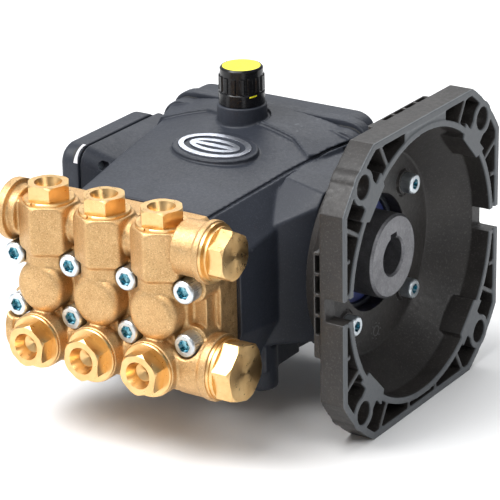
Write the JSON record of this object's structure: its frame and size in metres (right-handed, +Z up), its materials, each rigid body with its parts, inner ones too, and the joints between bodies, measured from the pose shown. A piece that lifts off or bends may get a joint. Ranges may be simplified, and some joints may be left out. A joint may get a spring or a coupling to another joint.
{
  "type": "pressure washer pump",
  "caption": "Triplex plunger pump with a cast brass manifold, dark painted crankcase and a moulded flange with a hollow shaft for an electric motor.",
  "frame": {"origin": "centre of the motor bolt circle, on the crankshaft axis, in the plane of the flange's motor face", "axes": "+X along the crankshaft and out of the flange towards the motor, -Y towards the brass manifold's front, +Z up"},
  "size_m": [0.185, 0.2123, 0.1592],
  "materials": {
    "flange_plastic": "black glass-filled nylon, fine moulded grain",
    "case_paint": "dark blue-grey satin powder coat over cast aluminium",
    "brass_cast": "shot-blasted cast brass",
    "brass_turned": "machined brass",
    "zinc_steel": "bright zinc-plated steel with a blue tint",
    "ground_steel": "ground and turned steel",
    "bearing_steel": "polished bearing steel",
    "blue_rubber": "blue nitrile rubber",
    "black_rubber": "black nitrile rubber",
    "gasket_paper": "black fibre gasket",
    "rod_aluminium": "die-cast aluminium",
    "ceramic": "polished white ceramic",
    "packing_fabric": "fabric-reinforced rubber",
    "cap_plastic": "black gloss nylon",
    "yellow_plastic": "bright yellow plastic",
    "sight_plastic": "clear sight glass with oil behind it",
    "silver_inlay": "satin silver inlay",
    "valve_plastic": "dark acetal valve guide"
  },
  "bodies": {
    "housing": {"motor_flange": "flange_plastic", "flange_screws": "zinc_steel", "crankcase": "case_paint", "badge_plate": "silver_inlay", "rear_gasket": "gasket_paper", "rear_cover": "case_paint", "cover_screws": "zinc_steel", "side_cover": "case_paint", "rating_plate": "silver_inlay", "sight_glass_ring": "zinc_steel", "sight_glass": "sight_plastic", "drain_plug": "brass_turned", "shaft_oil_seal": "blue_rubber", "drive_bearing_outer": "bearing_steel", "end_bearing_outer": "bearing_steel", "valve_seats": "valve_plastic", "discharge_springs": "bearing_steel", "suction_springs": "bearing_steel", "high_pressure_packings": "packing_fabric", "packing_rings": "brass_turned", "low_pressure_seals": "black_rubber", "plunger_oil_seals": "black_rubber", "manifold": "brass_cast", "manifold_screws": "zinc_steel", "discharge_caps": "brass_turned", "suction_caps": "brass_turned", "discharge_plug": "brass_turned", "suction_plug": "brass_turned", "plug_washers": "brass_turned"},
    "crank": {"crankshaft": "ground_steel", "drive_bearing_inner": "bearing_steel", "drive_bearing_balls": "bearing_steel", "end_bearing_inner": "bearing_steel", "end_bearing_balls": "bearing_steel"},
    "rod_1": {"connecting_rod_1": "rod_aluminium", "rod_cap_with_bolts_1": "rod_aluminium", "wrist_pin_1": "bearing_steel"},
    "plunger_1": {"plunger_guide_1": "ground_steel", "plunger_sleeve_1": "ceramic", "plunger_bolt_1": "bearing_steel"},
    "discharge_valve_1": {"discharge_valve_1": "bearing_steel"},
    "suction_valve_1": {"suction_valve_1": "bearing_steel"},
    "rod_2": {"connecting_rod_2": "rod_aluminium", "rod_cap_with_bolts_2": "rod_aluminium", "wrist_pin_2": "bearing_steel"},
    "plunger_2": {"plunger_guide_2": "ground_steel", "plunger_sleeve_2": "ceramic", "plunger_bolt_2": "bearing_steel"},
    "discharge_valve_2": {"discharge_valve_2": "bearing_steel"},
    "suction_valve_2": {"suction_valve_2": "bearing_steel"},
    "rod_3": {"connecting_rod_3": "rod_aluminium", "rod_cap_with_bolts_3": "rod_aluminium", "wrist_pin_3": "bearing_steel"},
    "plunger_3": {"plunger_guide_3": "ground_steel", "plunger_sleeve_3": "ceramic", "plunger_bolt_3": "bearing_steel"},
    "discharge_valve_3": {"discharge_valve_3": "bearing_steel"},
    "suction_valve_3": {"suction_valve_3": "bearing_steel"},
    "filler_cap": {"oil_cap": "cap_plastic", "oil_cap_disc": "yellow_plastic"}
  },
  "joints": [
    {"name": "crank_spin", "type": "hinge", "parent": "housing", "child": "crank", "pos_m": [-0.1119, 0, 0], "axis": [1, 0, 0], "continuous": true},
    {"name": "rod_1_journal", "type": "hinge", "parent": "crank", "child": "rod_1", "pos_m": [-0.1452, 0, 0.004], "axis": [1, 0, 0], "continuous": true},
    {"name": "plunger_1_stroke", "type": "slide", "parent": "housing", "child": "plunger_1", "axis": [0, -1, 0], "range_m": [-0.004, 0.004]},
    {"name": "discharge_valve_1_lift", "type": "slide", "parent": "housing", "child": "discharge_valve_1", "axis": [0, 0, 1], "range_m": [0, 0.002], "stiffness_N_per_m": 300, "springref_m": -0.003, "deforming": ["discharge_springs"]},
    {"name": "suction_valve_1_lift", "type": "slide", "parent": "housing", "child": "suction_valve_1", "axis": [0, -1, 0], "range_m": [0, 0.002], "stiffness_N_per_m": 300, "springref_m": -0.003, "deforming": ["suction_springs"]},
    {"name": "rod_2_journal", "type": "hinge", "parent": "crank", "child": "rod_2", "pos_m": [-0.1119, 0.00346, -0.002], "axis": [1, 0, 0], "continuous": true},
    {"name": "plunger_2_stroke", "type": "slide", "parent": "housing", "child": "plunger_2", "axis": [0, -1, 0], "range_m": [-0.00054, 0.00746]},
    {"name": "discharge_valve_2_lift", "type": "slide", "parent": "housing", "child": "discharge_valve_2", "axis": [0, 0, 1], "range_m": [0, 0.002], "stiffness_N_per_m": 300, "springref_m": -0.003, "deforming": ["discharge_springs"]},
    {"name": "suction_valve_2_lift", "type": "slide", "parent": "housing", "child": "suction_valve_2", "axis": [0, -1, 0], "range_m": [0, 0.002], "stiffness_N_per_m": 300, "springref_m": -0.003, "deforming": ["suction_springs"]},
    {"name": "rod_3_journal", "type": "hinge", "parent": "crank", "child": "rod_3", "pos_m": [-0.0786, -0.00346, -0.002], "axis": [1, 0, 0], "continuous": true},
    {"name": "plunger_3_stroke", "type": "slide", "parent": "housing", "child": "plunger_3", "axis": [0, -1, 0], "range_m": [-0.00746, 0.00054]},
    {"name": "discharge_valve_3_lift", "type": "slide", "parent": "housing", "child": "discharge_valve_3", "axis": [0, 0, 1], "range_m": [0, 0.002], "stiffness_N_per_m": 300, "springref_m": -0.003, "deforming": ["discharge_springs"]},
    {"name": "suction_valve_3_lift", "type": "slide", "parent": "housing", "child": "suction_valve_3", "axis": [0, -1, 0], "range_m": [0, 0.002], "stiffness_N_per_m": 300, "springref_m": -0.003, "deforming": ["suction_springs"]},
    {"name": "filler_cap_lift", "type": "slide", "parent": "housing", "child": "filler_cap", "axis": [0, 0, 1], "range_m": [0, 0.045]}
  ],
  "couplings": [
    {"joint": "rod_1_journal", "follows": "crank_spin", "ratio": -1},
    {"joint": "rod_2_journal", "follows": "crank_spin", "ratio": -1},
    {"joint": "rod_3_journal", "follows": "crank_spin", "ratio": -1}
  ]
}
